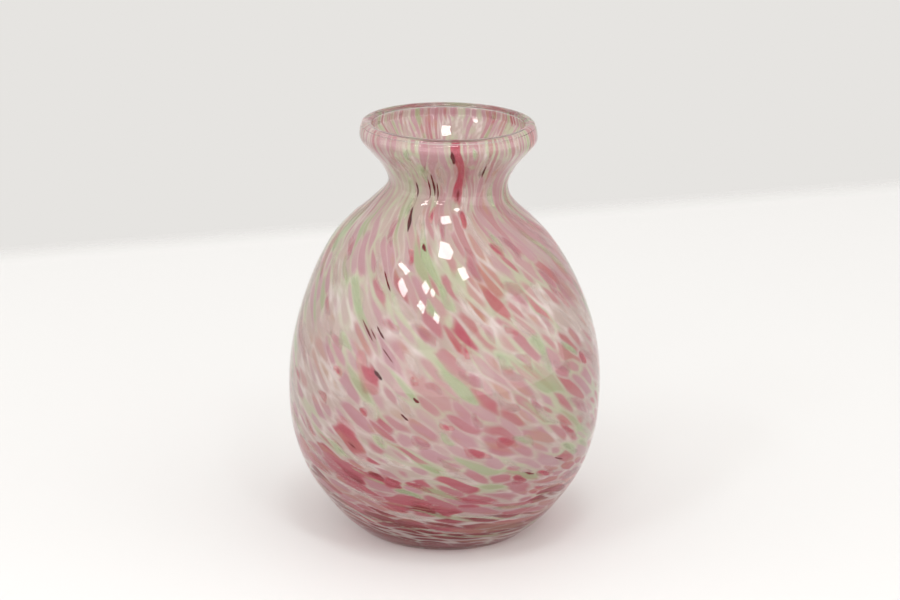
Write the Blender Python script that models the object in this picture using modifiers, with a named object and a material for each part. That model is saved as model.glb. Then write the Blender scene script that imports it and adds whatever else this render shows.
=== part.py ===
"""Hand blown art glass vase: cased glass with twisted frit streaks, built as nested gathers in millimetres."""

import math

import bpy

MM = 0.001
STEPS = 32  # facets round the axis, shared by every shell so that they nest
TOTAL_HEIGHT = 166.0
WELD = 0.01  # how close vertices are merged
POLISH = 0.08  # the glass's roughness

CHIP_CELLS = 5  # facets along a chip
CHIP_WALK = 8  # steps along the twist for each of them
CHIP_TIP = 0.22  # how wide a chip's tips are, as a share of its middle
CHIP_FULLNESS = 0.8  # 1 gives a chip a sine outline, less makes it fuller

# Depths of the layers below the outer surface.
CASING = (0.0, 1.2)
CHIP = (1.5, 2.0)
OVERLAY = (2.3, 2.7)
GATHER = (3.0, 4.1)

# The outer surface, from the foot up, as (height, radius).
OUTER = [
    (0.0, 31.5), (1.0, 34.3), (3.5, 37.4), (8.0, 42.3), (15.0, 48.0), (26.4, 55.3), (41.0, 60.3),
    (57.0, 61.9), (74.0, 61.0), (91.0, 57.2), (107.0, 51.0), (119.0, 43.8), (127.0, 36.5),
    (133.0, 29.8), (139.0, 24.8), (144.0, 23.6), (150.0, 26.2), (155.0, 30.2), (159.3, 33.5),
    (162.2, 34.2), (164.5, 33.6),
]
# The underside from the foot ring in to the axis: a flat ring, then the ground-out punty mark.
UNDERSIDE = [(0.0, 26.0), (0.5, 22.0), (1.1, 12.0), (1.2, 0.0)]
# The fire-polished lip's section: from the crest down its outer side, then up its inner side.
LIP = [
    (TOTAL_HEIGHT, 31.5), (165.8, 32.6), (165.3, 33.3), (164.8, 33.5), (164.8, 29.5),
    (165.3, 29.7), (165.8, 30.4),
]
FLOOR_HEIGHT = 3.2  # underside of the colour layers, above the thick base
FLOOR_RADIUS = 28.0
BASE_EXTRA = 1.8  # how much thicker the casing is at the foot than on the wall
BASE_FADE = (4.0, 24.0)  # how far up the surface the extra thickness starts and ends its fade
SLOPE_REACH = 5  # points of the dense curve on each side that a slope is taken over

# Where rings of vertices lie, in millimetres along the outer surface from the foot ring.
STATIONS = [
    4.0, 10.0, 17.0, 26.0, 37.0, 49.0, 62.0, 75.0, 88.0, 101.0, 114.0, 126.0, 137.0, 146.0,
    153.0, 158.5, 162.5, 166.0, 169.5, 174.0, 179.5, 184.5, 188.0,
]

# The twist: how far a streak turns, in degrees, for each millimetre down the surface.
TWIST = [
    (0.0, 9.0), (18.0, 8.5), (30.0, 7.5), (38.0, 5.2), (46.0, 3.4), (56.0, 1.9), (66.0, 1.4),
    (80.0, 1.15), (100.0, 0.95), (120.0, 0.75), (140.0, 0.62), (158.0, 0.45), (166.0, 0.2),
    (192.0, 0.1),
]

# Streaks on the front: kind, degrees round from the front, millimetres up the surface, length, width.
FRONT_STREAKS = [
    ("ruby_chip", 6, 176, 18, 3.4),
    ("ruby_chip", -36, 62, 17, 7.5),
    ("ruby_chip", -27, 91, 16, 6.0),
    ("ruby_chip", 13, 63, 9, 4.5),
    ("ruby_chip", 36, 134, 16, 4.2),
    ("ruby_chip", -36, 43, 20, 4.5),
    ("ruby_chip", 0, 22, 34, 4.5),
    ("ruby_chip", -62, 20, 30, 4.5),
    ("ruby_chip", 62, 26, 28, 4.5),
    ("green_streak", -20, 174, 11, 2.8),
    ("green_streak", -7, 138, 30, 3.4),
    ("green_streak", -41, 119, 15, 4.4),
    ("green_streak", 6, 87, 24, 3.6),
    ("green_streak", -13, 68, 9, 3.2),
    ("green_streak", 32, 70, 10, 4.0),
    ("green_streak", 40, 103, 11, 4.6),
    ("green_streak", 45, 156, 12, 3.2),
    ("green_streak", 30, 36, 20, 3.2),
    ("opal_streak", -58, 96, 18, 5.5),
    ("opal_streak", -54, 136, 20, 4.4),
    ("opal_streak", -10, 109, 20, 4.6),
    ("opal_streak", 22, 112, 20, 4.6),
    ("opal_streak", -5, 48, 20, 4.2),
    ("opal_streak", 55, 80, 18, 5.0),
    ("opal_streak", 20, 158, 14, 3.2),
    ("opal_streak", -62, 66, 18, 4.6),
]

# The back is covered by rows: millimetres up the surface, degrees of the first, length, width.
BACK_ROWS = [
    (24, 128, 30, 4.2),
    (46, 112, 18, 4.6),
    (66, 104, 16, 5.4),
    (88, 98, 18, 5.4),
    (110, 112, 18, 5.0),
    (134, 100, 18, 4.2),
    (168, 110, 18, 3.2),
]
BACK_SPACING = 62.0
BACK_PER_ROW = 3
BACK_KINDS = ["opal_streak", "ruby_chip", "green_streak"]

COLOURS = {
    "outer_casing": (0.92, 0.95, 0.94, 1.0),
    "inner_gather": (0.90, 0.94, 0.93, 1.0),
    "lip_ring": (0.90, 0.95, 0.94, 1.0),
    "ruby_overlay": (0.62, 0.20, 0.28, 1.0),
    "ruby_chip": (0.42, 0.05, 0.12, 1.0),
    "green_streak": (0.40, 0.62, 0.42, 1.0),
    "opal_streak": (0.84, 0.84, 0.78, 1.0),
}


def spline(points, spacing=0.25):
    """A Catmull-Rom curve through the points, as dense points roughly spacing apart."""
    ends = [points[0], *points, points[-1]]
    dense = []
    for i in range(len(points) - 1):
        a, b, c, d = ends[i:i + 4]
        count = max(2, round(math.dist(b, c) / spacing))
        for j in range(count):
            t = j / count
            dense.append(tuple(
                0.5 * (2 * b[k] + (c[k] - a[k]) * t
                       + (2 * a[k] - 5 * b[k] + 4 * c[k] - d[k]) * t * t
                       + (3 * b[k] - a[k] - 3 * c[k] + d[k]) * t ** 3)
                for k in (0, 1)
            ))
    dense.append(points[-1])
    return dense


CURVE = spline(OUTER)
LENGTHS = [0.0]
for before, after in zip(CURVE, CURVE[1:]):
    LENGTHS.append(LENGTHS[-1] + math.dist(before, after))
TOP = LENGTHS[-1]


def interpolate(table, x):
    """The value at x of a table of (x, value) rows, straight between them."""
    for (x0, y0), (x1, y1) in zip(table, table[1:]):
        if x <= x1:
            return y0 + (y1 - y0) * max(0.0, x - x0) / (x1 - x0)
    return table[-1][1]


def outer_point(s):
    """Height, radius and the inward normal's height and radius parts, s millimetres up the surface."""
    s = min(max(s, 0.0), TOP - 1e-6)
    i = next(k for k in range(1, len(LENGTHS)) if LENGTHS[k] > s)
    t = (s - LENGTHS[i - 1]) / (LENGTHS[i] - LENGTHS[i - 1])
    (z0, r0), (z1, r1) = CURVE[i - 1], CURVE[i]
    low = CURVE[max(i - 1 - SLOPE_REACH, 0)]
    high = CURVE[min(i + SLOPE_REACH, len(CURVE) - 1)]
    run = math.dist(low, high)
    return z0 + (z1 - z0) * t, r0 + (r1 - r0) * t, (high[1] - low[1]) / run, -(high[0] - low[0]) / run


def floor_of(depth):
    return FLOOR_HEIGHT + depth - CASING[1]


def skin_point(s, depth):
    """Height and radius of the skin that lies at this depth below the outer surface."""
    if s >= TOP:
        return OUTER[-1][0], OUTER[-1][1] - depth
    z, r, dz, dr = outer_point(s)
    if depth == 0.0:
        return z, r
    start, end = BASE_FADE
    fade = min(max((end - s) / (end - start), 0.0), 1.0)
    total = depth + BASE_EXTRA * fade * fade * (3.0 - 2.0 * fade)
    return max(z + dz * total, floor_of(depth)), r + dr * total


def inner_skin(depth):
    """An inner skin from the lip down to the axis."""
    skin = [skin_point(s, depth) for s in [TOP, *reversed(STATIONS)]]
    return [*skin, (floor_of(depth), FLOOR_RADIUS - depth), (floor_of(depth), 0.0)]


def outer_skin():
    """The outer surface from the lip down, with the underside, to the axis."""
    return [skin_point(s, 0.0) for s in [TOP, *reversed(STATIONS), 0.0]] + UNDERSIDE


def material(kind):
    found = bpy.data.materials.get(kind)
    if found:
        return found
    made = bpy.data.materials.new(kind)
    made.use_nodes = True
    shader = made.node_tree.nodes["Principled BSDF"]
    shader.inputs["Base Color"].default_value = COLOURS[kind]
    shader.inputs["Roughness"].default_value = POLISH
    made.diffuse_color = COLOURS[kind]
    return made


def add_object(name, kind, vertices, edges, faces):
    mesh = bpy.data.meshes.new(name)
    mesh.from_pydata([tuple(c * MM for c in v) for v in vertices], edges, faces)
    mesh.update()
    made = bpy.data.objects.new(name, mesh)
    collection.objects.link(made)
    own = material(kind)
    if kind != name:
        own = own.copy()
        own.name = name
    mesh.materials.append(own)
    return made


def turned(name, profile, closed=False):
    """A body of revolution from a profile of (height, radius) that runs down its outer side."""
    vertices = [(r, 0.0, z) for z, r in profile]
    edges = [(i, i + 1) for i in range(len(profile) - 1)]
    if closed:
        edges.append((len(profile) - 1, 0))
    made = add_object(name, name, vertices, edges, [])
    screw = made.modifiers.new("turn", "SCREW")
    screw.axis = "Z"
    screw.angle = math.tau
    screw.steps = STEPS
    screw.render_steps = STEPS
    screw.use_merge_vertices = True
    screw.merge_threshold = WELD * MM
    return made


def cup(name, depths):
    """A cup between two depths: up its inner skin from the axis, then down its outer skin."""
    outside = outer_skin() if depths[0] == 0.0 else inner_skin(depths[0])
    inside = list(reversed(inner_skin(depths[1])))
    return turned(name, [*inside, *outside])


def on_facet(theta, s, depth):
    """The point at theta degrees round and s up, on the flat facets that the shells have there."""
    rings = [0.0, *STATIONS, TOP]
    i = next((k for k in range(1, len(rings)) if rings[k] >= s), len(rings) - 1)
    t = (s - rings[i - 1]) / (rings[i] - rings[i - 1])
    (z0, r0), (z1, r1) = skin_point(rings[i - 1], depth), skin_point(rings[i], depth)
    z, r = z0 + (z1 - z0) * t, r0 + (r1 - r0) * t
    half = math.pi / STEPS
    angle = math.radians(theta)
    r *= math.cos(half) / math.cos(angle % (2 * half) - half)
    return r * math.sin(angle), -r * math.cos(angle), z


def chip(name, kind, theta, s, length, width):
    """A spindle of glass that follows the twist, with its middle at theta and s."""
    step = length / CHIP_CELLS / CHIP_WALK
    trail = []
    for way in (-1, 1):
        t, u, path = theta, s, []
        for _ in range(CHIP_CELLS * CHIP_WALK // 2):
            radius = outer_point(u)[1]
            turn = math.radians(interpolate(TWIST, u)) * radius
            slope = math.hypot(1.0, turn)
            t += way * step * math.degrees(turn / slope / radius)
            u -= way * step / slope
            path.append((t, u))
        trail = [*reversed(path), (theta, s)] if way == -1 else trail + path
    vertices = []
    for k in range(CHIP_CELLS + 1):
        t, u = trail[k * CHIP_WALK]
        radius = outer_point(u)[1]
        turn = math.radians(interpolate(TWIST, u)) * radius
        slope = math.hypot(1.0, turn)
        fullness = math.sin(math.pi * k / CHIP_CELLS) ** CHIP_FULLNESS
        half = width / 2 * (CHIP_TIP + (1.0 - CHIP_TIP) * fullness)
        for across in (-1, 0, 1):
            shift = across * half
            vertices.append(on_facet(t + math.degrees(shift / slope / radius),
                                     u + shift * turn / slope, CHIP[0]))
    faces = []
    for k in range(CHIP_CELLS):
        for j in (0, 1):
            a = 3 * k + j
            faces.append((a, a + 3, a + 4, a + 1))
    made = add_object(name, kind, vertices, [], faces)
    made.data.shade_smooth()
    solid = made.modifiers.new("thickness", "SOLIDIFY")
    solid.thickness = (CHIP[1] - CHIP[0]) * MM
    solid.offset = -1.0
    return made


for old in list(bpy.data.objects):
    bpy.data.objects.remove(old, do_unlink=True)

collection = bpy.data.collections.new("hand_blown_art_glass_vase")
bpy.context.scene.collection.children.link(collection)

cup("outer_casing", CASING)
cup("ruby_overlay", OVERLAY)
cup("inner_gather", GATHER)
turned("lip_ring", LIP, closed=True)

counts = {}
streaks = list(FRONT_STREAKS)
for row, (height, first, length, width) in enumerate(BACK_ROWS):
    for place in range(BACK_PER_ROW):
        kind = BACK_KINDS[(row + place) % len(BACK_KINDS)]
        streaks.append((kind, first + place * BACK_SPACING, height, length, width))
for kind, theta, height, length, width in streaks:
    counts[kind] = counts.get(kind, 0) + 1
    chip(f"{kind}_{counts[kind]:02d}", kind, theta, height, length, width)
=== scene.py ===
"""The looks of a hand blown art glass vase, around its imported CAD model.

The glass is built as it is made: a clear gather, a coat of pink glass, streaks of frit, a clear casing
and a fire-polished lip. Faces that are fused to their neighbour don't bend light, and faces that meet
air do. Lengths here are in millimetres, and become metres as each mesh is made.
"""

import math

import bpy
import numpy as np
from mathutils import Matrix, Quaternion, Vector


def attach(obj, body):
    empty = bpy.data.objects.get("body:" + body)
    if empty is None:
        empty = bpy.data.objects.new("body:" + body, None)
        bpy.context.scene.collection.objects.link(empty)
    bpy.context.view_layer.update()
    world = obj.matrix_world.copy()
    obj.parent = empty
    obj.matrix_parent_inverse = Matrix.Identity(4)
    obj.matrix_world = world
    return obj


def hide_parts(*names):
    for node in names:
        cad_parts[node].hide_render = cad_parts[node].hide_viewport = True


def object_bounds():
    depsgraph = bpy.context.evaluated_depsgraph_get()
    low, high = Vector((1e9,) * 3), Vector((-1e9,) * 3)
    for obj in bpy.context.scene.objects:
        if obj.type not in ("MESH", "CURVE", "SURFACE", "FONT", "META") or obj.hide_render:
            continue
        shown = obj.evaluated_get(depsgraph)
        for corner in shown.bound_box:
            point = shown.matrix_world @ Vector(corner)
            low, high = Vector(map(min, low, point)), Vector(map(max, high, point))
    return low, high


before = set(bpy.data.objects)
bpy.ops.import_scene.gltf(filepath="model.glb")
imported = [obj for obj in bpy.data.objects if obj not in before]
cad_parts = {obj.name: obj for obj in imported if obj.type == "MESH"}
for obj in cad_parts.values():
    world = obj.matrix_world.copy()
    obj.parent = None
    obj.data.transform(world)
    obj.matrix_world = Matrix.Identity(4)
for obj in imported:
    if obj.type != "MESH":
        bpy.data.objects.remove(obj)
CAD_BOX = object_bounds()

# ---------------------------------------------------------------- the vase's form

# The outer surface from the foot up, as (height, radius) in millimetres, for a vase 166 mm tall.
OUTER = [
    (0.0, 31.5), (1.0, 34.3), (3.5, 37.4), (8.0, 42.3), (15.0, 48.0), (26.4, 55.3), (41.0, 60.3),
    (57.0, 61.9), (74.0, 61.0), (91.0, 57.2), (107.0, 51.0), (119.0, 43.8), (127.0, 36.5),
    (133.0, 29.8), (139.0, 24.8), (144.0, 23.6), (150.0, 26.2), (155.0, 30.2), (159.3, 33.5),
    (162.2, 34.2), (164.5, 33.6),
]
DRAWN_HEIGHT = 166.0
MM = (CAD_BOX[1].z - CAD_BOX[0].z) / DRAWN_HEIGHT
UNDERSIDE = [(0.0, 31.5), (0.0, 29.0), (0.0, 26.5), (0.4, 23.0), (0.9, 16.0), (1.15, 8.0), (1.2, 0.0)]
FOOT_RADIUS = OUTER[0][1]
LIP_GAP = 0.01  # between the lip's fused face and the top of the wall
LIP_STEPS = 17
LIP_SHARES = (0.25, 0.5, 0.75)  # where its fused face has rings, as shares of the wall
LIP_ROUNDNESS = 0.8  # the power of the lip's rounded section: 1 is an ellipse, less is squarer
WALL = 4.1
# The layers lie between these depths below the outer surface.
CASING = (0.0, 1.3)
# One for each kind of frit. Streaks of different kinds still cut into each other in places.
FRIT_DEPTHS = (2.1, 1.95, 1.8, 1.65, 1.5)
FRIT_THICKNESS = 0.12
OVERLAY = (2.3, 2.7)
GATHER = (2.85, WALL)
LEVEL_REACH = 8.0  # within this length of the top, depth turns from square to the surface to level
BASE_EXTRA = 1.8  # how much thicker the base is than the wall
BASE_FADE = (4.0, 24.0)  # how far up the surface the extra thickness starts and ends its fade
FLOOR_HEIGHT = 3.2  # of the casing's inner floor
FLOOR_EDGE = 4.0  # how far up the surface the inner floors meet the wall
FLOOR_RINGS = 21
INSIDE, OUTSIDE, BONDED = 0, 1, 2  # a cup's inner, outer and fused faces, as indices of its materials

# How far hand work leaves the wall out of true: at each height, outward (on a wall of
# SHOULDER_RADIUS) and towards +X.
HAND_WORK = [
    (0.0, 0.0, 0.0), (20.0, 0.0, 0.0), (48.0, 0.1, 0.0), (76.0, 0.0, 0.0), (93.0, -0.3, -0.3),
    (110.0, -0.7, -1.1), (119.0, -0.7, -1.7), (127.0, -0.8, -2.0), (135.0, -1.0, -1.5),
    (141.0, -0.6, 0.2), (146.0, 0.5, 0.6), (157.0, 1.3, 0.5), (162.0, 0.3, 0.2), (167.0, 0.0, 0.1),
]
SHOULDER_RADIUS = 44.0
OVAL = 0.0015  # how far the wall is from round, as a share of its radius
OVAL_CLIMB = 30.0  # how far up the wall its oval turns by one radian

COLUMNS = 288  # points round the axis
ROW_SPACING = 1.25  # between rings, along the surface
PATTERN_COLUMNS = 600  # the coloured coat carries its pattern on its own finer mesh
PATTERN_SPACING = 0.65
FINE_START = -32.0  # surface lengths below 0 are under the foot, towards the axis
FINE_STEPS = 1400
LEAST_RADIUS = 1.0

# ---------------------------------------------------------------- the twist and the pattern's scale

# Against millimetres up the surface: degrees of twist for each millimetre down it, the width of a
# patch across the twist, and how many times longer than wide a patch is.
STATIONS = (0.0, 18.0, 30.0, 38.0, 46.0, 56.0, 66.0, 80.0, 100.0, 120.0, 140.0, 158.0, 166.0, 192.0)
TWIST_RATE = (6.5, 6.0, 4.9, 3.9, 3.0, 1.9, 1.4, 1.15, 0.95, 0.75, 0.62, 0.45, 0.2, 0.1)
PATCH_WIDTH = (5.6, 5.2, 4.6, 4.5, 4.9, 5.8, 6.9, 7.5, 7.5, 6.6, 4.8, 3.6, 3.3, 3.6)
PATCH_LENGTH = (4.8, 4.8, 4.5, 4.0, 3.6, 3.3, 3.2, 3.2, 3.4, 3.9, 5.2, 8.0, 12.0, 14.0)

# How much paler the pattern is than its usual mix (below 0: redder), up the surface.
PALER_UP = [
    (0, -0.95), (24, -0.75), (36, -0.44), (48, -0.26), (62, -0.12), (80, 0.0), (150, 0.0), (192, -0.1),
]
# Where it departs from that: degrees round from the front, millimetres up the surface, reach in
# millimetres, then how much paler, greener and browner it is. Two spots are painted light and shade:
# the one at 0 degrees and 96 mm darkens the front middle, where the lamps in front light it most, and
# the one at 48 degrees and 62 mm lightens the lower right, where the light is weak.
TONE_AND_LIGHT_SPOTS = [
    (-62, 132, 28, 0.26, 0.12, 0.0), (-72, 95, 24, 0.22, 0.0, 0.0), (-52, 76, 16, 0.16, 0.0, -0.2),
    (36, 112, 32, -0.22, 0.0, 0.5), (58, 78, 24, -0.12, 0.0, 0.2), (-12, 82, 14, 0.24, 0.08, 0.2),
    (4, 126, 20, -0.02, 0.07, 0.2), (-30, 178, 24, 0.1, 0.06, 0.0), (-28, 60, 16, -0.16, 0.0, 0.0),
    (0, 96, 30, -0.17, 0.02, 0.1), (32, 132, 26, 0.02, 0.0, 0.0), (48, 62, 18, 0.16, 0.0, 0.1),
    (5, 60, 20, 0.16, 0.04, 0.0), (-30, 134, 18, -0.08, 0.0, 0.0), (15, 176, 45, 0.1, 0.08, 0.25),
]

# Streaks that can be told apart on the front: degrees round from the front, millimetres up the
# surface, length and width.
RUBY_FRONT = [
    (7, 177, 36, 6.5), (-36, 64, 24, 10.5), (-30, 91, 22, 9.0), (-43, 89, 7, 4.0), (-50, 77, 8, 4.2),
    (12, 62, 15, 4.6), (23, 65, 11, 5.2), (-36, 43, 26, 3.8), (-20, 48, 12, 4.0), (-9, 46, 14, 3.2),
    (-21, 34, 18, 3.8), (-9, 38, 12, 3.2), (12, 40, 20, 3.4), (34, 140, 10, 3.6), (8, 102, 8, 3.6),
    (1, 73, 8, 3.6), (-9, 157, 9, 2.6), (16, 155, 10, 3.0), (-17, 138, 9, 3.2), (64, 90, 8, 3.6),
    (42, 48, 12, 3.4), (30, 47, 8, 3.2), (-58, 62, 12, 3.6), (-55, 46, 18, 3.2),
    (-11, 90, 5, 3.0), (-30, 76, 5, 2.8), (28, 108, 8, 3.0), (52, 64, 18, 4.4), (-70, 80, 10, 4.0),
]
PINK_FRONT = [
    (35, 121, 17, 8.0), (17, 135, 18, 6.5), (-8, 108, 14, 6.5), (10, 91, 13, 5.0), (12, 75, 8, 4.6),
    (-8, 66, 11, 4.6), (60, 71, 26, 5.0), (58, 122, 15, 6.5), (-4, 88, 9, 4.0), (24, 80, 12, 4.6),
    (36, 78, 11, 4.4), (-22, 110, 10, 5.0), (-58, 112, 12, 4.4), (-47, 100, 12, 4.6),
    (47, 108, 12, 5.0), (18, 108, 12, 4.6), (-35, 148, 16, 3.4), (-60, 136, 14, 4.0), (2, 57, 12, 3.6),
    (26, 92, 14, 5.0), (50, 90, 13, 5.0), (32, 96, 11, 4.4), (0, 150, 13, 3.2), (44, 140, 14, 4.2),
]
GREEN_FRONT = [
    (-20, 174, 12, 3.4), (-8, 139, 40, 3.6), (2, 122, 14, 5.0), (-42, 120, 20, 5.0), (5, 88, 24, 5.0),
    (40, 101, 12, 5.0), (-24, 65, 9, 4.2), (30, 65, 13, 4.2), (1, 68, 9, 3.6), (-13, 42.5, 14, 2.6),
    (31, 33, 26, 2.6), (-42, 58, 13, 3.2), (-42, 101, 12, 4.4), (36, 143, 12, 3.2), (47, 163, 12, 3.6),
    (18, 185, 7, 2.6), (-78, 135, 14, 4.6), (42, 94, 9, 4.4), (24, 96, 10, 4.0), (-32, 160, 13, 2.8),
    (-28, 184, 8, 2.8), (56, 96, 14, 3.4), (-68, 57, 16, 2.8), (55, 55, 16, 2.8), (-5, 118, 10, 4.0),
    (-55, 128, 14, 3.8),
]
OPAL_FRONT = [
    (-17, 117, 15, 6.5), (-43, 83, 15, 6.5), (-27, 77, 10, 5.0), (8, 97, 10, 4.4), (48, 119, 13, 4.2),
    (-18, 57, 11, 4.2), (22, 82, 16, 3.2), (-56, 106, 17, 5.5), (-63, 125, 18, 5.5), (-68, 95, 18, 7.0),
    (-57, 51, 22, 3.0), (5, 52, 18, 3.0), (40, 73, 18, 3.2), (28, 54, 18, 3.0), (-33, 130, 18, 3.6),
    (-15, 150, 18, 3.2), (15, 165, 16, 2.4), (-5, 172, 16, 3.0), (-12, 96, 14, 4.0), (-14, 80, 12, 4.6),
    (24, 148, 24, 2.6), (12, 118, 20, 2.6), (34, 108, 16, 2.6), (-30, 54, 14, 3.0), (16, 30, 24, 2.4),
    (-30, 37, 22, 2.4), (50, 40, 24, 2.6), (-12, 29, 22, 2.2), (40, 24, 30, 2.2), (-45, 25, 28, 2.2),
    (0, 20, 26, 1.8), (-72, 70, 20, 4.6), (62, 105, 20, 3.4), (28, 178, 16, 2.8), (-38, 176, 14, 3.0),
]
# These dark streaks are painted shade, not frit: they stand for the stems and shadow inside the vase, seen
# through clear gaps in the coat.
PAINTED_SHADE_FRONT = [
    (-14, 169, 10, 0.8), (-18, 167, 8, 0.6), (-10, 166, 7, 0.6), (-26, 154, 11, 1.3), (-31, 166, 6, 0.7),
    (-10, 142.5, 3.5, 1.2), (-27, 127, 9, 0.7), (-32, 107, 10, 0.7), (-26, 107, 6, 0.8), (-25, 91, 5, 1.3),
    (-10, 83, 3, 1.1), (3, 184, 7, 1.4), (10, 164.5, 4, 0.9), (-14, 76, 4, 0.8), (29, 175, 7, 0.8),
    (34, 50, 5, 0.8), (-35, 61, 4, 0.6), (48, 53, 6, 0.6), (-29, 106, 5, 0.5), (-22, 99, 7, 0.5),
]

# Each kind's patches in the coat: how pale (0 is deep ruby, 1 the palest) and how green they are.
CELL_KINDS = [
    (RUBY_FRONT, 0.18, 0.0), (PINK_FRONT, 0.5, 0.0), (OPAL_FRONT, 1.0, 0.0), (GREEN_FRONT, 0.9, 0.36),
]
PLACED_SIZE = 0.56  # half the size of a placed patch, as a share of its streak's
CELL_SEED = 5
CELL_THROWS = 10000
CELL_START = -30.0  # the lowest place up the surface for a thrown patch
CELL_RANGE = 33.0  # how much longer than the surface the range of these places is
CELL_SPACING = 0.9  # how near two patches may lie, in half lengths and half widths
# The least and the further random part of a thrown patch's half width (in PATCH_WIDTH), of its
# half length (in PATCH_LENGTH times that) and of its paleness.
HALF_WIDTHS = (0.34, 0.28)
HALF_LENGTHS = (0.8, 0.5)
PALENESS = (0.38, 0.62)
GREEN_SHARE = 0.1  # of the thrown patches, which are slimmer and longer
GREEN_WIDTH = 0.6
GREEN_LENGTH = 1.3
GREEN_TINT = 0.32
SHARPNESS = 9.0  # how abruptly one patch turns into the next
CELL_REACH = 3.0  # how far a patch is felt, in its own half lengths
CELL_MARGIN = 2.0  # and how much further than that, in millimetres
FAR = 9.0  # a distance in half lengths beyond every patch
WIDEST_GAP = 2.0
# Waves that bend the pattern: how many, how large, and how fast they can vary round and up.
WAVE_SEED = 3
WAVES = 18
WAVE_SIZE = 0.22
WAVE_TURNS = (2, 16)
WAVE_CLIMB = 0.35
WAVE_SHIFT = 31  # columns between a wave's sideways part and its upward part

BACK_FROM = 74.0  # beyond this many degrees from the front, streaks are placed by rule
BACK_ROWS = (10.0, 6.0)  # their rows start this far from the foot and end this far from the top
BACK_SEED = 11
BACK_ROW_STEP = 11.0
BACK_ROW_JITTER = 4.0
BACK_WIDTH = 1.15  # in PATCH_WIDTH
BACK_LENGTH = 1.3  # in PATCH_LENGTH times that
BACK_GAP = 1.75  # between neighbours in a row, in widths
BACK_LEAST_TURN = 12.0
BACK_SHUFFLE = 0.3  # how far a streak may be out of its place in the row, in gaps
BACK_LENGTHS = (0.6, 1.25)  # the ranges of its length and width, as shares of the row's
BACK_WIDTHS = (0.65, 1.3)
BACK_KINDS = ("opal", "ruby", "green", "pink", "opal", "green", "ruby", "pink")

# ---------------------------------------------------------------- light and camera

CAMERA_DISTANCE = 1.0
CAMERA_HEIGHT_ANGLE = 17.3
CAMERA_ROLL = 0.8
CAMERA_LENS = 101.2
CAMERA_SENSOR = 36.0
AIM_HEIGHT = 0.0933
AIM_SIDE = 0.00174

# The window's panes, as the glass mirrors them: degrees round from the front towards +X, degrees up,
# then the pane's width and height in metres at PANE_DISTANCE, and the degrees it is turned.
PANE_DISTANCE = 2.0
PANES = [
    (10.5, 71.3, 0.34, 0.30, -25.0), (28.0, 51.2, 0.21, 0.29, 8.0), (-49.0, 48.0, 0.42, 0.15, -20.0),
    (-42.0, 37.7, 0.30, 0.15, -28.0), (-18.0, 42.2, 0.18, 0.15, -35.0), (-10.0, 40.8, 0.12, 0.10, -40.0),
    (-20.0, 33.0, 0.20, 0.13, -27.0), (-6.0, 30.0, 0.16, 0.10, -20.0),
]
PANE_RADIANCE = 15.0
# Soft light from the rest of the room, low in front: degrees round and up, width, height, radiance.
FILL_DISTANCE = 2.0
FILLS = [(62.0, 10.0, 3.2, 1.4, 1.2), (-60.0, 10.0, 3.0, 1.4, 0.85), (0.0, 5.0, 3.0, 0.9, 0.9)]
SHADOW_GLOW = 0.9  # how much of the coloured glass lamps shine through, as tinted light


def smoothstep(low, high, x):
    """A smooth step from 0 at low to 1 at high."""
    t = np.clip((x - low) / (high - low), 0.0, 1.0)
    return t * t * (3.0 - 2.0 * t)


def spline(points, steps=24):
    """A Catmull-Rom curve through the points, as a dense array."""
    rows = np.array([points[0], *points, points[-1]], float)
    t = np.linspace(0.0, 1.0, steps, endpoint=False)[:, None]
    dense = []
    for a, b, c, d in zip(rows, rows[1:], rows[2:], rows[3:]):
        dense.append(0.5 * (
            2 * b + (c - a) * t + (2 * a - 5 * b + 4 * c - d) * t ** 2 + (3 * b - a - 3 * c + d) * t ** 3
        ))
    return np.vstack([*dense, rows[-1:]])


CURVE = spline(OUTER)
LENGTHS = np.concatenate([[0.0], np.cumsum(np.hypot(*np.diff(CURVE, axis=0).T))])
TOP = LENGTHS[-1]
SLOPE = np.gradient(CURVE, LENGTHS, axis=0)
HAND_CURVE = spline(HAND_WORK)


def skin(s, depth):
    """Height and radius, s millimetres up the surface and depth below it. The base is thicker."""
    s, depth = np.asarray(s, float), np.asarray(depth, float)
    z, r = np.interp(s, LENGTHS, CURVE[:, 0]), np.interp(s, LENGTHS, CURVE[:, 1])
    up = np.interp(s, LENGTHS, SLOPE[:, 0])
    out = np.interp(s, LENGTHS, SLOPE[:, 1]) * np.clip((TOP - s) / LEVEL_REACH, 0.0, 1.0)
    steep = np.hypot(up, out)
    inner = depth > 0.0
    total = depth + BASE_EXTRA * (1.0 - smoothstep(*BASE_FADE, s)) * inner
    lowest = np.where(inner, FLOOR_HEIGHT + depth - CASING[1], 0.0)
    return np.maximum(z + out / steep * total, lowest), r - up / steep * total


FINE = np.linspace(FINE_START, TOP, FINE_STEPS)
RATE = np.radians(np.interp(FINE, STATIONS, TWIST_RATE))
RADIUS = np.where(
    FINE < 0.0, np.maximum(FOOT_RADIUS + FINE, LEAST_RADIUS), skin(np.maximum(FINE, 0.0), 0.0)[1]
)
LEAN = np.hypot(1.0, RATE * RADIUS)  # the length of a streak for each millimetre up the surface
TURNED = np.cumsum(RATE) * (FINE[1] - FINE[0])
TURNED = TURNED[-1] - TURNED
WIDTH = np.interp(FINE, STATIONS, PATCH_WIDTH)
ALONG = np.cumsum(LEAN / (WIDTH * np.interp(FINE, STATIONS, PATCH_LENGTH))) * (FINE[1] - FINE[0])


def flow(theta, s):
    """Where a point of the surface was before the twist, in patches: round and along the gather."""
    across = np.interp(s, FINE, RADIUS / (LEAN * WIDTH))
    turn = theta - np.interp(s, FINE, TURNED)
    along = np.interp(s, FINE, ALONG) + 0.0 * turn
    return np.stack([across * np.cos(turn), across * np.sin(turn), along], axis=-1)


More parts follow.
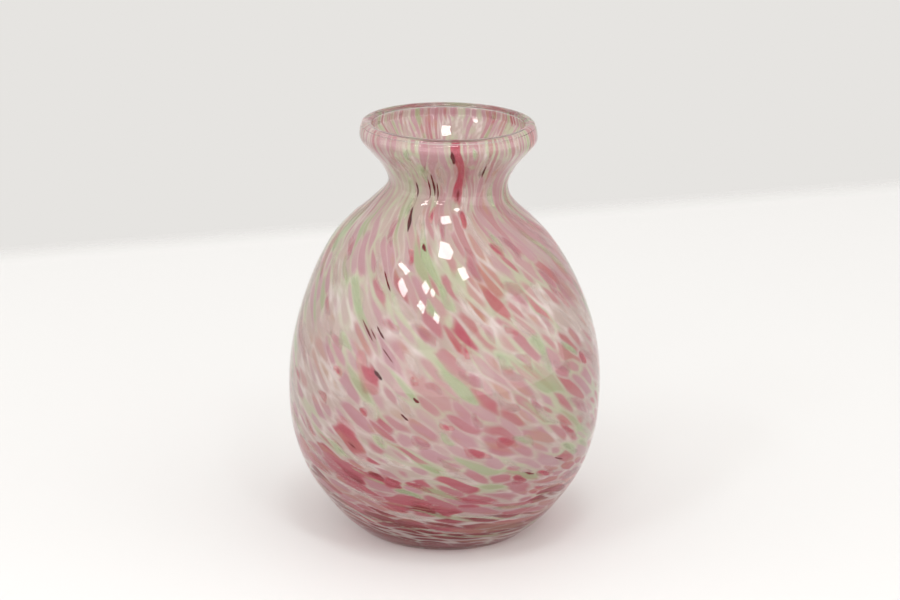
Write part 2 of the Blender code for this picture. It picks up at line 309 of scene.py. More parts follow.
def tone(theta, s):
    """How much paler, greener and browner than usual the pattern is here, with the painted light and shade
    of two of the spots.
    """
    heights, paler = zip(*PALER_UP)
    out = np.zeros((*np.broadcast(theta, s).shape, 3))
    out[..., 0] = np.interp(s, heights, paler)
    for degrees, height, reach, *amounts in TONE_AND_LIGHT_SPOTS:
        turn = (theta - math.radians(degrees) + math.pi) % math.tau - math.pi
        away = np.hypot(turn * np.interp(s, FINE, RADIUS), s - height) / reach
        out += np.exp(-away[..., None] ** 2) * np.array(amounts)
    return out


def stride(theta, s, cell):
    """How far points are from a patch's centre along and across the twist, in half lengths and widths."""
    middle = (s + cell[1]) / 2
    rate, lean = np.interp(middle, FINE, RATE), np.interp(middle, FINE, LEAN)
    radius = np.interp(middle, FINE, RADIUS)
    aside = ((theta - cell[0] + math.pi) % math.tau - math.pi) * radius
    up = s - cell[1]
    along = (aside * rate * radius - up) / lean
    across = (aside + up * rate * radius) / lean
    return np.hypot(along / cell[2], across / cell[3])


def drawn_cells():
    """The patches of the coloured coat: turn, height, half length, half width, paler, greener, browner.

    The patches that can be told apart come first. The rest are thrown at random and keep their distance.
    """
    rng = np.random.default_rng(CELL_SEED)
    cells = np.zeros((7, CELL_THROWS))
    count = 0
    for rows, paler, greener in CELL_KINDS:
        for theta, s, length, width in rows:
            cells[:, count] = (
                math.radians(theta), s, PLACED_SIZE * length, PLACED_SIZE * width, paler, greener, 0.0,
            )
            count += 1
    throws = rng.uniform(size=(CELL_THROWS, 8))
    heights = CELL_START + (TOP + CELL_RANGE) * throws[:, 0]
    girth = np.interp(heights, FINE, RADIUS) / RADIUS.max()
    for s, throw in zip(heights[throws[:, 1] < girth], throws[throws[:, 1] < girth]):
        theta = math.tau * (throw[2] - 0.5)
        is_green = throw[3] < GREEN_SHARE
        half = np.interp(s, STATIONS, PATCH_WIDTH) * (HALF_WIDTHS[0] + HALF_WIDTHS[1] * throw[4])
        long = half * np.interp(s, STATIONS, PATCH_LENGTH) * (HALF_LENGTHS[0] + HALF_LENGTHS[1] * throw[5])
        if is_green:
            half, long = GREEN_WIDTH * half, GREEN_LENGTH * long
        if stride(theta, s, cells[:, :count]).min() < CELL_SPACING:
            continue
        # paler here includes the painted shade at the front middle and the painted light at the lower
        # right.
        paler, greener, browner = tone(theta, s)
        paler = min(max(PALENESS[0] + PALENESS[1] * throw[6] + paler, 0.0), 1.0)
        greener = greener + GREEN_TINT * is_green
        cells[:, count] = theta, s, long, half, paler, greener, browner * throw[7]
        count += 1
    return cells[:, :count].T


def pattern(theta, s):
    """The coat's pattern on a grid: the gap to the next patch, and how pale, green and brown it is."""
    theta, s = theta[None, :], s[:, None]
    rng = np.random.default_rng(WAVE_SEED)
    sway, rise = 0.0, 0.0
    for _ in range(WAVES):
        turns = rng.integers(*WAVE_TURNS)
        climb = rng.uniform(-WAVE_CLIMB, WAVE_CLIMB)
        start = rng.uniform(0, math.tau)
        wave = np.sin(turns * theta + climb * s + start)
        sway = sway + WAVE_SIZE * wave
        rise = rise + WAVE_SIZE * np.roll(wave, WAVE_SHIFT, axis=1)
    theta, s = theta + sway / np.interp(s, FINE, RADIUS), s + rise
    nearest = np.full(theta.shape, FAR)
    second = np.full(theta.shape, FAR)
    total = np.full(theta.shape, 1e-9)
    values = np.zeros((*theta.shape, 3))
    for cell in drawn_cells():
        lean = np.interp(cell[1], FINE, LEAN)
        reach = CELL_REACH * math.hypot(cell[2] / lean, cell[3]) + CELL_MARGIN
        rows = np.flatnonzero(np.abs(s.mean(axis=1) - cell[1]) < reach)
        if not len(rows):
            continue
        part = slice(rows[0], rows[-1] + 1)
        away = stride(theta[part], s[part], cell)
        second[part] = np.minimum(second[part], np.maximum(nearest[part], away))
        nearest[part] = np.minimum(nearest[part], away)
        weight = np.exp(-SHARPNESS * away)
        total[part] += weight
        values[part] += weight[..., None] * cell[4:7]
    return np.clip(second - nearest, 0.0, WIDEST_GAP), values / total[..., None]


def place(theta, z, r):
    """Points in millimetres, from radians round from the front, as hand work leaves them out of true."""
    out, aside = (np.interp(z, HAND_CURVE[:, 0], HAND_CURVE[:, column]) for column in (1, 2))
    r = r * (1.0 + out / SHOULDER_RADIUS + OVAL * np.sin(2.0 * theta + z / OVAL_CLIMB))
    return np.stack([r * np.sin(theta) + aside, -r * np.cos(theta), z + 0.0 * theta], axis=-1)


# ---------------------------------------------------------------- meshes


def make_piece(name, points, faces, nodes, materials, face_materials, layers):
    """A smooth mesh piece that rides on the vase and stands for its CAD nodes."""
    mesh = bpy.data.meshes.new(name)
    mesh.from_pydata((np.asarray(points) * MM).tolist(), [], faces)
    for material in materials:
        mesh.materials.append(material)
    mesh.polygons.foreach_set("material_index", np.asarray(face_materials, np.int32))
    for layer, values in layers.items():
        values = np.asarray(values, np.float32)
        kind = "FLOAT_VECTOR" if values.ndim == 2 else "FLOAT"
        field = "vector" if values.ndim == 2 else "value"
        mesh.attributes.new(layer, kind, "POINT").data.foreach_set(field, values.ravel())
    mesh.validate()
    mesh.shade_smooth()
    mesh.update()
    piece = bpy.data.objects.new(name, mesh)
    bpy.context.scene.collection.objects.link(piece)
    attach(piece, "root")
    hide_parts(*nodes)
    return piece


def turned(name, rings, nodes, materials, closed=False, columns=COLUMNS):
    """A turned solid. Each ring is (height, radius, place up the surface, material of the band above it).

    An open run of rings starts and ends on the axis. A closed one joins its last ring to its first.
    """
    theta = np.arange(columns) * math.tau / columns
    points, flows, first, sizes = [], [], [], []
    for z, r, s, _ in rings:
        first.append(sum(sizes))
        if r < 1e-6:
            points.append(np.array([[0.0, 0.0, z]]))
            flows.append(flow(np.zeros(1), s))
            sizes.append(1)
        else:
            points.append(place(theta, z, r))
            flows.append(flow(theta, s))
            sizes.append(columns)
    faces, face_materials = [], []
    pairs = list(zip(range(len(rings)), range(1, len(rings))))
    if closed:
        pairs.append((len(rings) - 1, 0))
    for low, high in pairs:
        a, b = first[low], first[high]
        for i in range(columns):
            j = (i + 1) % columns
            if sizes[low] == 1:
                faces.append((a, b + j, b + i))
            elif sizes[high] == 1:
                faces.append((a + i, a + j, b))
            else:
                faces.append((a + i, a + j, b + j, b + i))
            face_materials.append(rings[low][3])
    layers = {"flow": np.vstack(flows)}
    if columns == PATTERN_COLUMNS:
        gaps, kinds = pattern(theta, np.array([ring[2] for ring in rings]))
        layers["gap"] = np.concatenate([row[:size] for row, size in zip(gaps, sizes)])
        layers["kind"] = np.vstack([row[:size] for row, size in zip(kinds, sizes)])
    return make_piece(name, np.vstack(points), faces, nodes, materials, face_materials, layers)


def wall_rings(depth, material, low=FLOOR_EDGE, spacing=ROW_SPACING):
    """Rings up a wall at this depth, from the base's edge to just under the lip."""
    stations = np.linspace(low, TOP, round((TOP - low) / spacing))
    z, r = skin(stations, depth)
    return [(z[i], r[i], stations[i], material) for i in range(len(stations))]


def floor_rings(depth, material):
    """Rings from the axis out to the wall's foot, at this depth."""
    z = FLOOR_HEIGHT + depth - CASING[1]
    edge = skin(np.array([FLOOR_EDGE]), depth)[1][0]
    radii = np.linspace(0.0, edge, FLOOR_RINGS + 1)[:-1]
    return [(z, r, FLOOR_EDGE - (edge - r), material) for r in radii]


def cup(name, depths, nodes, inner, outer, bonded, spacing=ROW_SPACING, columns=COLUMNS):
    """A cup between two depths, with materials for its inner, outer and fused faces."""
    if depths[0] == 0.0:
        under = [(z, r, r - FOOT_RADIUS, OUTSIDE) for z, r in UNDERSIDE[:0:-1]]
        outside = under + wall_rings(0.0, OUTSIDE, 0.0)
    else:
        outside = floor_rings(depths[0], OUTSIDE) + wall_rings(depths[0], OUTSIDE, spacing=spacing)
    outside[-1] = (*outside[-1][:3], BONDED)
    inside = floor_rings(depths[1], INSIDE) + wall_rings(depths[1], INSIDE)
    materials = [inner, outer, bonded]
    return turned(name, outside + inside[::-1], nodes, materials, columns=columns)


def lip(name, nodes, materials):
    """The rounded bead on top of the wall, with its fused face below."""
    low, outer = skin(TOP, 0.0)
    low = low + LIP_GAP
    middle, half = outer - WALL / 2, WALL / 2
    rings = []
    for angle in np.linspace(0.0, math.pi, LIP_STEPS):
        lift = (DRAWN_HEIGHT - low) * math.sin(angle) ** LIP_ROUNDNESS
        rings.append((low + lift, middle + half * math.cos(angle), TOP + lift, 0))
    for share in LIP_SHARES:
        rings.append((low, middle - half + WALL * share, TOP, 1))
    rings[-4] = (low, middle - half, TOP, 1)
    return turned(name, rings, nodes, materials, closed=True)


LONG_CELLS = 20  # a streak's cells along and across the twist
CROSS_CELLS = 8
WALK_STEPS = 6  # steps along the twist for each cell
STREAK_TAPER = (2.4, 0.75)  # powers that round its outline off
STREAK_TIP = 0.04  # how wide its tips are, as a share of its width
STREAK_WAVE = 0.18  # how much its width varies
STREAK_WAVE_RATE = 5.0  # how fast its width and its bend vary, in radians for half its length
STREAK_BEND_RATE = 2.6
STREAK_EDGE = 0.2  # how thick its edge is, as a share of its thickness
LIP_CLEARANCE = 0.6  # how far from the wall's top it ends at least


def walk(rows, way):
    """Where streaks lie from their middles down the twist (way 1) or up it (way -1)."""
    theta, s = np.radians(rows[:, 0]), rows[:, 1].copy()
    step = rows[:, 2] / LONG_CELLS / WALK_STEPS
    path = []
    for _ in range(LONG_CELLS // 2):
        for _ in range(WALK_STEPS):
            lean = np.interp(s, FINE, LEAN)
            theta = theta + way * step * np.interp(s, FINE, RATE) / lean
            s = s - way * step / lean
        path.append((theta, s))
    return path


def frit(name, rows, nodes, material, bonded, depth, curl, seed):
    """Streaks of frit, and also the dark streaks of painted shade: flat lenses that follow the twist, one
    closed body each, joined in one piece.
    """
    rng = np.random.default_rng(seed)
    rows = np.array(rows, float)
    count = len(rows)
    trail = walk(rows, -1)[::-1] + [(np.radians(rows[:, 0]), rows[:, 1])] + walk(rows, 1)
    theta = np.array([t for t, _ in trail]).T[:, :, None]
    s = np.array([u for _, u in trail]).T[:, :, None]
    along = np.linspace(-1.0, 1.0, LONG_CELLS + 1)[None, :, None]
    across = np.linspace(-1.0, 1.0, CROSS_CELLS + 1)[None, None, :]
    phase = rng.uniform(0.0, math.tau, (count, 1, 1))
    taper = (1.0 - np.abs(along) ** STREAK_TAPER[0]) ** STREAK_TAPER[1] + STREAK_TIP
    wave = 1.0 + STREAK_WAVE * np.sin(STREAK_WAVE_RATE * along + phase)
    half = rows[:, 3][:, None, None] / 2 * taper * wave
    bend = curl * rows[:, 3][:, None, None] * np.sin(STREAK_BEND_RATE * along + 2.0 * phase)
    shift = across * half + bend
    lean, rate = np.interp(s, FINE, LEAN), np.interp(s, FINE, RATE)
    radius = np.interp(s, FINE, RADIUS)
    theta = theta + shift / lean / radius
    s = np.minimum(s + shift * rate * radius / lean, TOP - LIP_CLEARANCE)
    body = (1.0 - across ** 2) * (1.0 - along ** 4)
    top = depth + 0.0 * body
    bottom = top + FRIT_THICKNESS * (STREAK_EDGE + (1.0 - STREAK_EDGE) * np.sqrt(body))
    shade = rng.uniform(0.0, 1.0, (count, 1, 1)) + 0.0 * body
    sheets, flows = [], []
    for depth in (top, bottom):
        z, r = skin(s, depth)
        sheets.append(place(theta, z, r))
        flows.append(flow(theta, s))
    points = np.stack(sheets, axis=1).reshape(-1, 3)
    sheet = (LONG_CELLS + 1) * (CROSS_CELLS + 1)
    grid = np.arange(sheet).reshape(LONG_CELLS + 1, CROSS_CELLS + 1)
    corners = np.stack([grid[:-1, :-1], grid[1:, :-1], grid[1:, 1:], grid[:-1, 1:]], axis=-1)
    corners = corners.reshape(-1, 4)
    rim = np.concatenate([grid[:-1, 0], grid[-1, :-1], grid[:0:-1, -1], grid[0, :0:-1]])
    after = np.roll(rim, -1)
    sides = np.stack([after, rim, rim + sheet, after + sheet], axis=-1)
    one = np.vstack([corners, corners[:, ::-1] + sheet, sides])
    faces = (one[None] + 2 * sheet * np.arange(count)[:, None, None]).reshape(-1, 4).tolist()
    face_materials = np.tile(np.repeat([0, 1], [2 * len(corners), len(sides)]), count)

    def twice(values):
        return np.stack([values, values], axis=1).reshape(-1)

    layers = {
        "flow": np.stack(flows, axis=1).reshape(-1, 3),
        "body": twice(body + 0.0 * shade),
        "shade": twice(shade),
    }
    piece = make_piece(name, points, faces, nodes, [material, bonded], face_materials, layers)
    piece.data.polygons.foreach_set("use_smooth", face_materials == 0)
    return piece


def back_streaks():
    """The streaks of each kind round the sides and back, by rule."""
    rng = np.random.default_rng(BACK_SEED)
    found = {kind: [] for kind in set(BACK_KINDS)}
    turn = 0
    for s in np.arange(BACK_ROWS[0], TOP - BACK_ROWS[1], BACK_ROW_STEP):
        width = np.interp(s, STATIONS, PATCH_WIDTH) * BACK_WIDTH
        length = width * np.interp(s, STATIONS, PATCH_LENGTH) * BACK_LENGTH
        lean, radius = np.interp(s, FINE, LEAN), np.interp(s, FINE, RADIUS)
        gap = math.degrees(BACK_GAP * width * lean / radius)
        spots = np.arange(BACK_FROM, 360.0 - BACK_FROM, max(gap, BACK_LEAST_TURN))
        for theta in spots:
            kind = BACK_KINDS[turn % len(BACK_KINDS)]
            turn += 1 + int(rng.integers(0, 2))
            found[kind].append((
                theta + rng.uniform(-BACK_SHUFFLE, BACK_SHUFFLE) * gap,
                s + rng.uniform(-BACK_ROW_JITTER, BACK_ROW_JITTER),
                length * rng.uniform(*BACK_LENGTHS),
                width * rng.uniform(*BACK_WIDTHS),
            ))
    return found


# ---------------------------------------------------------------- materials


def add(tree, kind, inputs, **settings):
    """A shader node with these settings and inputs. An input is a value or the socket that feeds it."""
    node = tree.nodes.new("ShaderNode" + kind)
    for key, value in settings.items():
        setattr(node, key, value)
    for key, value in inputs.items():
        if isinstance(value, bpy.types.NodeSocket):
            tree.links.new(value, node.inputs[key])
        else:
            node.inputs[key].default_value = value
    return node


def new_material(name):
    """An empty material and its node tree."""
    material = bpy.data.materials.new(name)
    material.use_nodes = True
    material.node_tree.nodes.clear()
    return material, material.node_tree


def finish_material(tree, surface):
    """Make this shader the material's surface."""
    output = tree.nodes.new("ShaderNodeOutputMaterial")
    tree.links.new(surface, output.inputs["Surface"])


def mixed(tree, factor, first, second):
    """The shader that goes from first to second."""
    return add(tree, "MixShader", {0: factor, 1: first, 2: second}).outputs[0]


def blended(tree, factor, first, second):
    """The colour that goes from first to second."""
    node = add(tree, "Mix", {0: factor, 6: first, 7: second}, data_type="RGBA")
    return node.outputs[2]


def ranged(tree, value, low, high, to_low=0.0, to_high=1.0):
    """A smooth step of value from low to high."""
    inputs = {"Value": value, "From Min": low, "From Max": high, "To Min": to_low, "To Max": to_high}
    return add(tree, "MapRange", inputs, interpolation_type="SMOOTHSTEP").outputs[0]


def calc(tree, operation, a, b=0.0, clamp=False):
    """The result of a maths node, kept within 0 and 1 where clamp is set."""
    return add(tree, "Math", {0: a, 1: b}, operation=operation, use_clamp=clamp).outputs[0]


def layer(tree, name, output="Fac"):
    """A value that is stored on the mesh."""
    return add(tree, "Attribute", {}, attribute_name=name).outputs[output]


def noise(tree, vector, scale, detail=2.0):
    """A noise texture."""
    return add(tree, "TexNoise", {"Vector": vector, "Scale": scale, "Detail": detail})


def srgb(red, green, blue):
    """A colour given in 8-bit sRGB, as linear RGBA."""
    def linear(c):
        c /= 255.0
        return c / 12.92 if c <= 0.04045 else ((c + 0.055) / 1.055) ** 2.4
    return (linear(red), linear(green), linear(blue), 1.0)


PALE = srgb(190, 171, 163)
WHITE = srgb(218, 208, 204)
MINT = srgb(189, 193, 165)
GREEN = srgb(165, 181, 140)
LILAC = srgb(189, 154, 160)
PINK = srgb(184, 136, 143)
TAN = srgb(188, 148, 122)
ROSE = srgb(184, 113, 123)
BRIGHT_RUBY = srgb(202, 96, 114)
RUBY = srgb(184, 84, 100)
DEEP_RUBY = srgb(132, 8, 26)
# The colour of the dark streaks of painted shade.
SHADE_PLUM = srgb(52, 22, 26)

VEIL = 0.24  # how much each face of a frit streak covers what is behind it
CLEAR_TINT = (0.985, 0.99, 0.985, 1.0)
LIP_TINT = (0.97, 0.985, 0.975, 1.0)
CASING_RIPPLE = 0.005  # how high the ripple in its skin is, in millimetres
GATHER_RIPPLE = 0.08
LIP_RIPPLE = 0.05
SOFT_CURL = 0.22  # how far a streak bends, in widths
DARK_CURL = 0.08
FRIT_GLOW = 0.35  # the share of light that a streak scatters forwards
THROUGH_CLEAR = (0.96, 0.97, 0.965, 1.0)  # what clear glass leaves of light that makes shadows

COAT_STOPS = [(0.0, DEEP_RUBY), (0.16, RUBY), (0.32, ROSE), (0.55, PINK), (0.8, LILAC), (1.0, PALE)]
COAT_MOTTLE = 0.45
COAT_COVER = (0.84, 0.95)  # of the deepest patches and of the paler ones
COAT_GLOW = 0.2  # the share of light that the coat scatters forwards
SEAM = (0.06, 0.64)  # the gaps between patches where the pale seam is fullest and where it ends
SEAM_COVER = 0.95
SEAM_MOTTLE = 1.1
SEAM_SHIFT = 0.3  # how much slimmer seams are among deep patches, and how much they vary
BY_RUBY = (0.1, 0.45)  # patches between these palenesses have the whiter seams
GREEN_WISPS = (0.49, 0.68)  # the noise where mint starts and where it is full
GREENEST_WISPS = (0.70, 0.90)
GREENEST_FLOOD = 0.8
BROWN_WISPS = (0.36, 0.47)
BROWN_SHARE = 0.45


def fused_material():
    """A face where two pieces of glass are melted together, which light crosses straight."""
    material, tree = new_material("fused_face")
    finish_material(tree, add(tree, "BsdfTransparent", {"Color": (1, 1, 1, 1)}).outputs[0])
    return material


def clear_material(name, tint, ripple):
    """Clear glass where it meets air, with the faint ripple that hand work leaves in its skin."""
    material, tree = new_material(name)
    flow_at = layer(tree, "flow", "Vector")
    swell = noise(tree, flow_at, 0.55, 1.0).outputs["Fac"]
    bump = add(tree, "Bump", {"Height": swell, "Distance": ripple * MM, "Strength": 1.0})
    glass = add(tree, "BsdfPrincipled", {
        "Base Color": tint, "Roughness": 0.0, "IOR": 1.5, "Transmission Weight": 1.0,
        "Normal": bump.outputs[0],
    })
    clear = add(tree, "BsdfTransparent", {"Color": THROUGH_CLEAR})
    shadow = add(tree, "LightPath", {}).outputs["Is Shadow Ray"]
    finish_material(tree, mixed(tree, shadow, glass.outputs[0], clear.outputs[0]))
    return material


def coloured_glass(tree, colour, cover, glow):
    """Coloured glass inside clear glass: it scatters light both ways, and lets the rest through tinted."""
    front = add(tree, "BsdfPrincipled", {
        "Base Color": colour, "Roughness": 0.55, "Specular IOR Level": 0.0,
    })
    back = add(tree, "BsdfTranslucent", {"Color": colour})
    scatter = mixed(tree, glow, front.outputs[0], back.outputs[0])
    through = add(tree, "BsdfTransparent", {"Color": colour})
    seen = mixed(tree, cover, through.outputs[0], scatter)
    shadow = calc(tree, "MULTIPLY", add(tree, "LightPath", {}).outputs["Is Shadow Ray"], SHADOW_GLOW)
    return mixed(tree, shadow, seen, through.outputs[0])


def overlay_material():
    """The coat of pink glass: soft drawn-out patches with pale seams between them, green in places."""
    material, tree = new_material("ruby_overlay")
    flow_at = layer(tree, "flow", "Vector")
    bias = add(tree, "SeparateXYZ", {0: layer(tree, "kind", "Vector")})
    paler, greener, browner = bias.outputs[0], bias.outputs[1], bias.outputs[2]
    fine = noise(tree, flow_at, 1.8, 3.0).outputs["Fac"]
    mottle = calc(tree, "SUBTRACT", fine, 0.5)

    # paler includes painted shade at the front middle and painted light at the lower right, besides the
    # glass's own tone.
    kind = calc(tree, "ADD", paler, calc(tree, "MULTIPLY", mottle, COAT_MOTTLE), True)
    ramp = add(tree, "ValToRGB", {0: kind})
    while len(ramp.color_ramp.elements) < len(COAT_STOPS):
        ramp.color_ramp.elements.new(0.5)
    for element, (position, colour) in zip(ramp.color_ramp.elements, COAT_STOPS):
        element.position = position
        element.color = colour

    gap = calc(tree, "ADD", layer(tree, "gap"), calc(tree, "MULTIPLY", mottle, SEAM_MOTTLE))
    ruddy = ranged(tree, paler, 0.0, 0.5, SEAM_SHIFT, 0.0)
    gap = calc(tree, "ADD", gap, ruddy)
    broad = noise(tree, flow_at, 0.35, 1.0).outputs["Fac"]
    gap = calc(tree, "ADD", gap, ranged(tree, broad, 0.3, 0.7, -SEAM_SHIFT, SEAM_SHIFT))
    seam = ranged(tree, gap, *SEAM, SEAM_COVER, 0.0)
    aside = add(tree, "VectorMath", {0: flow_at, 1: (31.0, 7.0, 3.0)}, operation="ADD").outputs[0]
    wisp = calc(tree, "ADD", noise(tree, aside, 0.8, 2.0).outputs["Fac"], greener)
    green = ranged(tree, wisp, *GREEN_WISPS)
    greenest = ranged(tree, wisp, *GREENEST_WISPS)
    by_ruby = ranged(tree, paler, *BY_RUBY, 0.9, 0.0)
    whiteness = calc(tree, "MAXIMUM", ranged(tree, fine, 0.4, 0.65), by_ruby)
    pale = blended(tree, whiteness, PALE, WHITE)
    seam_colour = blended(tree, greenest, blended(tree, green, pale, MINT), GREEN)
    flooded = calc(tree, "MAXIMUM", seam, calc(tree, "MULTIPLY", greenest, GREENEST_FLOOD))
    browned = calc(tree, "ADD", browner, ranged(tree, wisp, *BROWN_WISPS, BROWN_SHARE, 0.0), True)
    patch = blended(tree, browned, ramp.outputs[0], TAN)
    colour = blended(tree, flooded, patch, seam_colour)
    cover = ranged(tree, kind, 0.0, 0.7, *COAT_COVER)
    finish_material(tree, coloured_glass(tree, colour, cover, COAT_GLOW))
    return material


def frit_material(name, deep, light, cover, soft):
    """A streak of frit (the same serves the dark streaks of painted shade), mottled along the twist, whose
    edge melts into the glass round it.
    """
    material, tree = new_material(name)
    flow_at = layer(tree, "flow", "Vector")
    mottle = noise(tree, flow_at, 1.7, 3.0).outputs["Fac"]
    fray = noise(tree, flow_at, 3.2, 3.0).outputs["Fac"]
    tone = calc(tree, "MULTIPLY", layer(tree, "shade"), 0.55)
    tone = calc(tree, "ADD", tone, ranged(tree, mottle, 0.35, 0.65, 0.0, 0.5), True)
    colour = blended(tree, tone, deep, light)
    frayed = calc(tree, "MULTIPLY", calc(tree, "SUBTRACT", 0.6, fray), 0.8)
    body = layer(tree, "body")
    solid = cover
    if soft:
        solid = ranged(tree, calc(tree, "SUBTRACT", body, frayed), 0.1, 0.9, 0.0, cover)
        solid = calc(tree, "MULTIPLY", solid, ranged(tree, body, 0.0, 0.3))
    lit = calc(tree, "SUBTRACT", 1.0, add(tree, "LightPath", {}).outputs["Is Shadow Ray"])
    solid = calc(tree, "MULTIPLY", solid, lit)
    front = add(tree, "BsdfPrincipled", {
        "Base Color": colour, "Roughness": 0.5, "Specular IOR Level": 0.0,
    })
    back = add(tree, "BsdfTranslucent", {"Color": colour})
    scatter = mixed(tree, FRIT_GLOW, front.outputs[0], back.outputs[0])
    through = add(tree, "BsdfTransparent", {"Color": (1, 1, 1, 1)})
    finish_material(tree, mixed(tree, solid, through.outputs[0], scatter))
    return material


# ---------------------------------------------------------------- the vase


def build_vase():
    """The nine pieces: eight of glass, and the dark streaks of painted shade."""
    nodes = sorted(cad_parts)
    fused = fused_material()
    clear = clear_material("clear_casing", CLEAR_TINT, CASING_RIPPLE)
    inside = clear_material("clear_gather", CLEAR_TINT, GATHER_RIPPLE)
    bead = clear_material("clear_lip", LIP_TINT, LIP_RIPPLE)
    overlay = overlay_material()

    cup("clear_casing", CASING, ["outer_casing"], fused, clear, fused)
    cup("pink_overlay", OVERLAY, ["ruby_overlay"], fused, overlay, fused,
        PATTERN_SPACING, PATTERN_COLUMNS)
    cup("clear_gather", GATHER, ["inner_gather"], inside, fused, fused)
    lip("polished_lip", ["lip_ring"], [bead, fused])

    back = back_streaks()
    kinds = [
        ("pink_frit", PINK_FRONT + back["pink"], "ruby_frit", [], ROSE, PINK, VEIL, True),
        ("opal_frit", OPAL_FRONT + back["opal"], "opal_frit", "opal_streak", PALE, WHITE, VEIL, True),
        ("green_frit", GREEN_FRONT + back["green"], "green_frit", "green_streak", GREEN, MINT, VEIL, True),
        ("ruby_frit", RUBY_FRONT + back["ruby"], "ruby_frit", "ruby_chip", RUBY, BRIGHT_RUBY, VEIL, True),
        # Painted shade, not frit: dark streaks where the shaded inside of the vase and its stems show
        # through.
        ("painted_shade_streaks", PAINTED_SHADE_FRONT, "ruby_frit", [], SHADE_PLUM, DEEP_RUBY, 1.0, False),
    ]
    for seed, (name, rows, slot, prefix, deep, light, cover, soft) in enumerate(kinds):
        replaced = [n for n in nodes if prefix and n.startswith(prefix)]
        material = frit_material(name, deep, light, cover, soft)
        curl = SOFT_CURL if soft else DARK_CURL
        frit(name, rows, replaced, material, fused, FRIT_DEPTHS[seed], curl, seed)


# ---------------------------------------------------------------- stage, light and camera

# In metres and degrees.
TABLE_SIDE = 3
TABLE_EDGE = 0.455  # how far behind the vase the table ends
TABLE_EDGE_TURN = 19.0
TABLE_EDGE_BLUR = 0.02
WALL_DISTANCE = 1.6
WALL_SIDE = 3.0
WALL_HEIGHTS = (-1.5, 3.0)
TABLE_COLOUR = (225, 224, 223)
WALL_COLOUR = (230, 228, 225)
WORLD_COLOUR = (236, 235, 233)
WORLD_STRENGTH = 1.2
LIGHT_AIM = (0.0, -0.04, 0.115)  # the point of the vase that the lamps are placed round


def build_stage():
    """The table, which fades out behind the vase so that the wall is seen beyond its edge."""
    mesh = bpy.data.meshes.new("table")
    side = TABLE_SIDE
    corners = [(-side, -side, 0), (side, -side, 0), (side, side, 0), (-side, side, 0)]
    mesh.from_pydata(corners, [], [(0, 1, 2, 3)])
    table = bpy.data.objects.new("table", mesh)
    bpy.context.scene.collection.objects.link(table)
    material, tree = new_material("table")
    here = add(tree, "NewGeometry", {}).outputs["Position"]
    turn = math.radians(TABLE_EDGE_TURN)
    across = (-math.sin(turn), math.cos(turn), 0.0)
    distance = add(tree, "VectorMath", {0: here, 1: across}, operation="DOT_PRODUCT").outputs["Value"]
    edge = TABLE_EDGE * math.cos(turn)
    past = ranged(tree, distance, edge - TABLE_EDGE_BLUR, edge + TABLE_EDGE_BLUR)
    top = add(tree, "BsdfPrincipled", {
        "Base Color": srgb(*TABLE_COLOUR), "Roughness": 0.5, "Specular IOR Level": 0.2,
    })
    beyond = add(tree, "BsdfTransparent", {"Color": (1, 1, 1, 1)})
    finish_material(tree, mixed(tree, past, top.outputs[0], beyond.outputs[0]))
    mesh.materials.append(material)


def build_wall():
    """The pale wall behind the table, lit evenly."""
    y, side = WALL_DISTANCE, WALL_SIDE
    low, high = WALL_HEIGHTS
    corners = [(-side, y, low), (side, y, low), (side, y, high), (-side, y, high)]
    mesh = bpy.data.meshes.new("wall")
    mesh.from_pydata(corners, [], [(0, 1, 2, 3)])
    wall = bpy.data.objects.new("wall", mesh)
    bpy.context.scene.collection.objects.link(wall)
    material, tree = new_material("wall")
    even = add(tree, "Emission", {"Color": srgb(*WALL_COLOUR), "Strength": 1.0})
    finish_material(tree, even.outputs[0])
    mesh.materials.append(material)


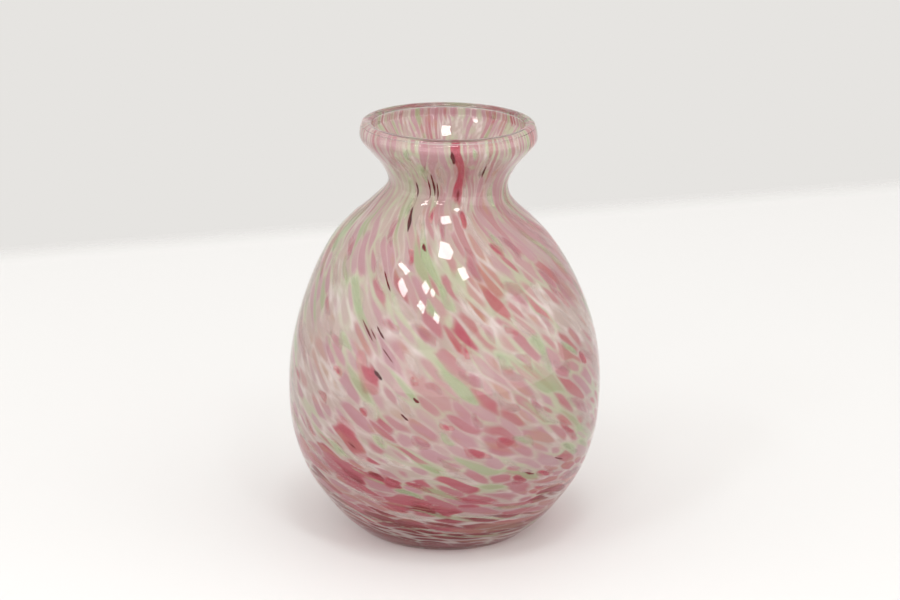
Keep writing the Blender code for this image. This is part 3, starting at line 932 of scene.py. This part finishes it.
def area_light(name, azimuth, elevation, distance, width, height, roll, radiance):
    """A softbox in this direction from LIGHT_AIM. Its power gives it this radiance."""
    a, e = math.radians(azimuth), math.radians(elevation)
    way = Vector((math.sin(a) * math.cos(e), -math.cos(a) * math.cos(e), math.sin(e)))
    light = bpy.data.lights.new(name, "AREA")
    light.shape = "RECTANGLE"
    light.size, light.size_y = width, height
    light.energy = radiance * width * height * math.pi
    lamp = bpy.data.objects.new(name, light)
    lamp.location = Vector(LIGHT_AIM) + way * distance
    lamp.rotation_mode = "QUATERNION"
    lamp.rotation_quaternion = way.to_track_quat("Z", "Y") @ Quaternion((0, 0, 1), math.radians(roll))
    bpy.context.scene.collection.objects.link(lamp)


def build_light():
    """The room's even light, the window's panes and the softer light from low in front."""
    world = bpy.data.worlds.new("studio")
    world.use_nodes = True
    background = world.node_tree.nodes["Background"]
    background.inputs["Color"].default_value = srgb(*WORLD_COLOUR)
    background.inputs["Strength"].default_value = WORLD_STRENGTH
    bpy.context.scene.world = world
    for number, (azimuth, elevation, width, height, roll) in enumerate(PANES, 1):
        name = f"pane_{number}"
        area_light(name, azimuth, elevation, PANE_DISTANCE, width, height, roll, PANE_RADIANCE)
    for number, (azimuth, elevation, width, height, radiance) in enumerate(FILLS, 1):
        area_light(f"room_{number}", azimuth, elevation, FILL_DISTANCE, width, height, 0.0, radiance)


def build_camera():
    """The camera, which looks down at the vase from in front."""
    camera = bpy.data.cameras.new("camera")
    camera.sensor_width = CAMERA_SENSOR
    camera.lens = CAMERA_LENS
    camera.clip_start = 0.05
    camera.clip_end = 20.0
    angle = math.radians(CAMERA_HEIGHT_ANGLE)
    holder = bpy.data.objects.new("camera", camera)
    turn = Matrix.Rotation(math.pi / 2 - angle, 4, "X") @ Matrix.Rotation(math.radians(CAMERA_ROLL), 4, "Z")
    spot = Vector((
        AIM_SIDE, -CAMERA_DISTANCE * math.cos(angle), AIM_HEIGHT + CAMERA_DISTANCE * math.sin(angle),
    ))
    holder.matrix_world = Matrix.Translation(spot) @ turn
    bpy.context.scene.collection.objects.link(holder)
    bpy.context.scene.camera = holder


build_vase()
build_stage()
build_wall()
build_light()
build_camera()
bpy.context.scene.view_settings.view_transform = "Standard"
bpy.context.scene.cycles.transparent_max_bounces = 40
